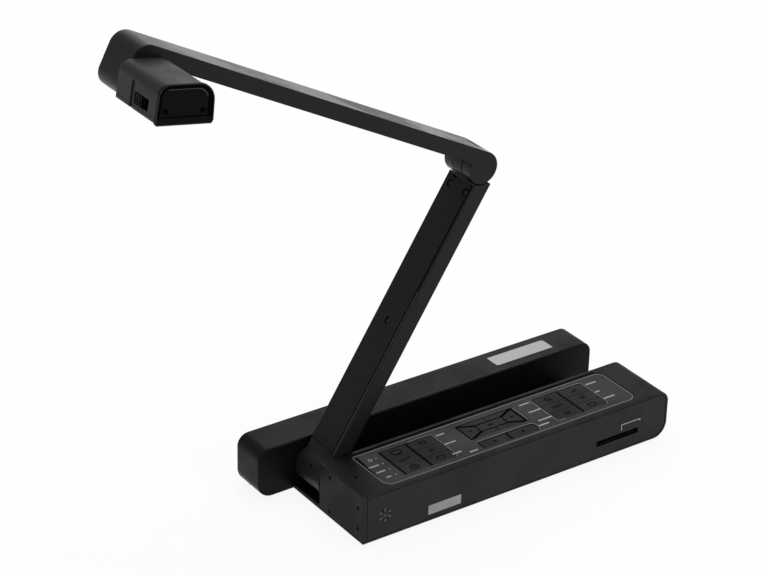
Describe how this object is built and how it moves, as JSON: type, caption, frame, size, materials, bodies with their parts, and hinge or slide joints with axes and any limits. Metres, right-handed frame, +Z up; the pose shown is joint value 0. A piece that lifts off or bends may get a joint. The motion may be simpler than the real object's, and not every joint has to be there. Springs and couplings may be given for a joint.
{
  "type": "folding document camera",
  "caption": "Desk document camera: a two-bar base with a key panel, a two-part folding arm and a tilting camera head that looks down at a page.",
  "frame": {"origin": "middle of the base, on the surface it stands on, at the face of the middle foot", "axes": "+X along the base bars to the right, +Y to the back, +Z up"},
  "size_m": [0.4683, 0.128, 0.4207],
  "materials": {
    "case_metal": "satin charcoal paint",
    "arm_metal": "satin charcoal paint on aluminium",
    "panel_plastic": "satin dark grey",
    "key_rubber": "matt grey",
    "light_pipe": "milky",
    "board": "solder mask",
    "steel": "plain",
    "window_grey": "smoky silver",
    "black_plastic": "matt",
    "plate_silver": "brushed",
    "foot_rubber": "matt",
    "screw_black": "black oxide",
    "head_plastic": "fine texture",
    "gloss_black": "gloss",
    "lens_glass": "coated"
  },
  "bodies": {
    "base": {"base_plate": "case_metal", "front_housing": "case_metal", "front_panel": "case_metal", "end_cover": "case_metal", "control_panel": "panel_plastic", "status_lights": "light_pipe", "key_board": "board", "main_board": "board", "card_socket": "steel", "remote_window": "window_grey", "microphone": "steel", "rear_housing": "case_metal", "rear_panel": "case_metal", "port_board": "board", "power_inlet": "black_plastic", "signal_ports": "steel", "name_plate": "plate_silver", "feet": "foot_rubber", "case_screws": "steel", "pivot_bracket": "steel", "pivot_pin": "steel"},
    "lower": {"lower_arm": "arm_metal", "arm_cover": "arm_metal", "cover_screws": "screw_black", "lower_cable": "black_plastic"},
    "upper": {"upper_arm": "arm_metal", "upper_cover": "arm_metal", "elbow_pin": "steel", "upper_cable": "black_plastic", "pivot_cap": "black_plastic"},
    "head": {"head_shell": "head_plastic", "lens_plate": "head_plastic", "end_cap": "gloss_black", "cap_screws": "screw_black", "lens_barrel": "black_plastic", "lens_glass": "lens_glass", "camera_board": "board", "lamp_lens": "light_pipe", "head_pivot": "steel"},
    "switch": {"slide_switch": "black_plastic"},
    "left_key_1": {"left_key_1": "key_rubber"},
    "left_key_2": {"left_key_2": "key_rubber"},
    "left_key_3": {"left_key_3": "key_rubber"},
    "left_key_4": {"left_key_4": "key_rubber"},
    "left_key_5": {"left_key_5": "key_rubber"},
    "left_key_6": {"left_key_6": "key_rubber"},
    "pad_left": {"pad_left": "key_rubber"},
    "pad_right": {"pad_right": "key_rubber"},
    "pad_up": {"pad_up": "key_rubber"},
    "pad_down": {"pad_down": "key_rubber"},
    "pad_centre": {"pad_centre": "key_rubber"},
    "low_key_1": {"low_key_1": "key_rubber"},
    "low_key_2": {"low_key_2": "key_rubber"},
    "right_key_1": {"right_key_1": "key_rubber"},
    "right_key_2": {"right_key_2": "key_rubber"},
    "right_key_3": {"right_key_3": "key_rubber"},
    "right_key_4": {"right_key_4": "key_rubber"},
    "right_key_5": {"right_key_5": "key_rubber"},
    "right_key_6": {"right_key_6": "key_rubber"}
  },
  "joints": [
    {"name": "base_pivot", "type": "hinge", "parent": "base", "child": "lower", "pos_m": [-0.134, 0.014, 0.023], "axis": [0, -1, 0], "range_deg": [-57.7, 32.3]},
    {"name": "elbow", "type": "hinge", "parent": "lower", "child": "upper", "pos_m": [-0.0019, 0.014, 0.25572], "axis": [0, 1, 0], "range_deg": [-84.3, 74.7]},
    {"name": "head_tilt", "type": "hinge", "parent": "upper", "child": "head", "pos_m": [-0.29351, -0.03, 0.39813], "axis": [0, -1, 0], "range_deg": [-60, 90]},
    {"name": "lamp_switch", "type": "slide", "parent": "head", "child": "switch", "axis": [0, -1, 0], "range_m": [0, 0.008]},
    {"name": "press_left_key_1", "type": "slide", "parent": "base", "child": "left_key_1", "axis": [0, 0, -1], "range_m": [0, 0.0008], "stiffness_N_per_m": 500},
    {"name": "press_left_key_2", "type": "slide", "parent": "base", "child": "left_key_2", "axis": [0, 0, -1], "range_m": [0, 0.0008], "stiffness_N_per_m": 500},
    {"name": "press_left_key_3", "type": "slide", "parent": "base", "child": "left_key_3", "axis": [0, 0, -1], "range_m": [0, 0.0008], "stiffness_N_per_m": 500},
    {"name": "press_left_key_4", "type": "slide", "parent": "base", "child": "left_key_4", "axis": [0, 0, -1], "range_m": [0, 0.0008], "stiffness_N_per_m": 500},
    {"name": "press_left_key_5", "type": "slide", "parent": "base", "child": "left_key_5", "axis": [0, 0, -1], "range_m": [0, 0.0008], "stiffness_N_per_m": 500},
    {"name": "press_left_key_6", "type": "slide", "parent": "base", "child": "left_key_6", "axis": [0, 0, -1], "range_m": [0, 0.0008], "stiffness_N_per_m": 500},
    {"name": "press_pad_left", "type": "slide", "parent": "base", "child": "pad_left", "axis": [0, 0, -1], "range_m": [0, 0.0008], "stiffness_N_per_m": 500},
    {"name": "press_pad_right", "type": "slide", "parent": "base", "child": "pad_right", "axis": [0, 0, -1], "range_m": [0, 0.0008], "stiffness_N_per_m": 500},
    {"name": "press_pad_up", "type": "slide", "parent": "base", "child": "pad_up", "axis": [0, 0, -1], "range_m": [0, 0.0008], "stiffness_N_per_m": 500},
    {"name": "press_pad_down", "type": "slide", "parent": "base", "child": "pad_down", "axis": [0, 0, -1], "range_m": [0, 0.0008], "stiffness_N_per_m": 500},
    {"name": "press_pad_centre", "type": "slide", "parent": "base", "child": "pad_centre", "axis": [0, 0, -1], "range_m": [0, 0.0008], "stiffness_N_per_m": 500},
    {"name": "press_low_key_1", "type": "slide", "parent": "base", "child": "low_key_1", "axis": [0, 0, -1], "range_m": [0, 0.0008], "stiffness_N_per_m": 500},
    {"name": "press_low_key_2", "type": "slide", "parent": "base", "child": "low_key_2", "axis": [0, 0, -1], "range_m": [0, 0.0008], "stiffness_N_per_m": 500},
    {"name": "press_right_key_1", "type": "slide", "parent": "base", "child": "right_key_1", "axis": [0, 0, -1], "range_m": [0, 0.0008], "stiffness_N_per_m": 500},
    {"name": "press_right_key_2", "type": "slide", "parent": "base", "child": "right_key_2", "axis": [0, 0, -1], "range_m": [0, 0.0008], "stiffness_N_per_m": 500},
    {"name": "press_right_key_3", "type": "slide", "parent": "base", "child": "right_key_3", "axis": [0, 0, -1], "range_m": [0, 0.0008], "stiffness_N_per_m": 500},
    {"name": "press_right_key_4", "type": "slide", "parent": "base", "child": "right_key_4", "axis": [0, 0, -1], "range_m": [0, 0.0008], "stiffness_N_per_m": 500},
    {"name": "press_right_key_5", "type": "slide", "parent": "base", "child": "right_key_5", "axis": [0, 0, -1], "range_m": [0, 0.0008], "stiffness_N_per_m": 500},
    {"name": "press_right_key_6", "type": "slide", "parent": "base", "child": "right_key_6", "axis": [0, 0, -1], "range_m": [0, 0.0008], "stiffness_N_per_m": 500}
  ]
}
